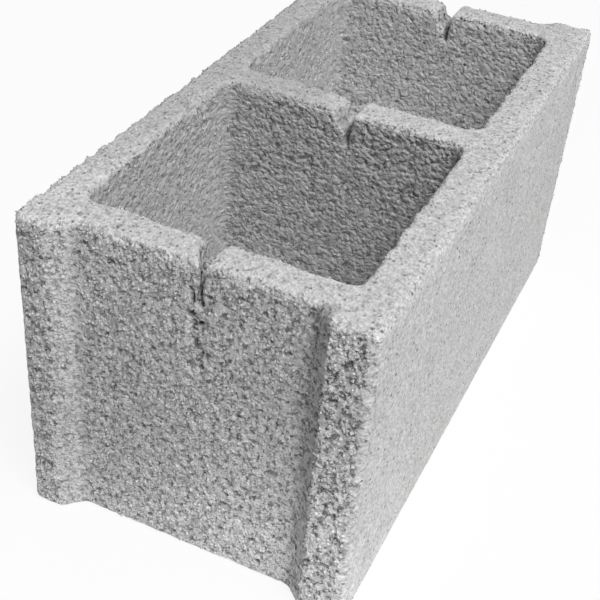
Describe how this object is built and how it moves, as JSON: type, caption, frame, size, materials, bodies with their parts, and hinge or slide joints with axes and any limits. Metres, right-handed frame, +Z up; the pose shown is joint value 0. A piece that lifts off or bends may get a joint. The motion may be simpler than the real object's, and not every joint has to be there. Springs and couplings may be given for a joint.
{
  "type": "concrete block",
  "caption": "Hollow concrete masonry block with open vertical cores, shallow end recesses and a break-out slot in the top of each web.",
  "frame": {"origin": "centre of the outline of the bed that the block stands on", "axes": "+Z up along the cores, +Y along the block's length, +X across it"},
  "size_m": [0.19, 0.39, 0.19],
  "materials": {
    "concrete": "rough open-grained concrete, coarse on the ends and in the cores, finer on the sides"
  },
  "bodies": {
    "root": {"concrete_block": "concrete"}
  },
  "joints": []
}
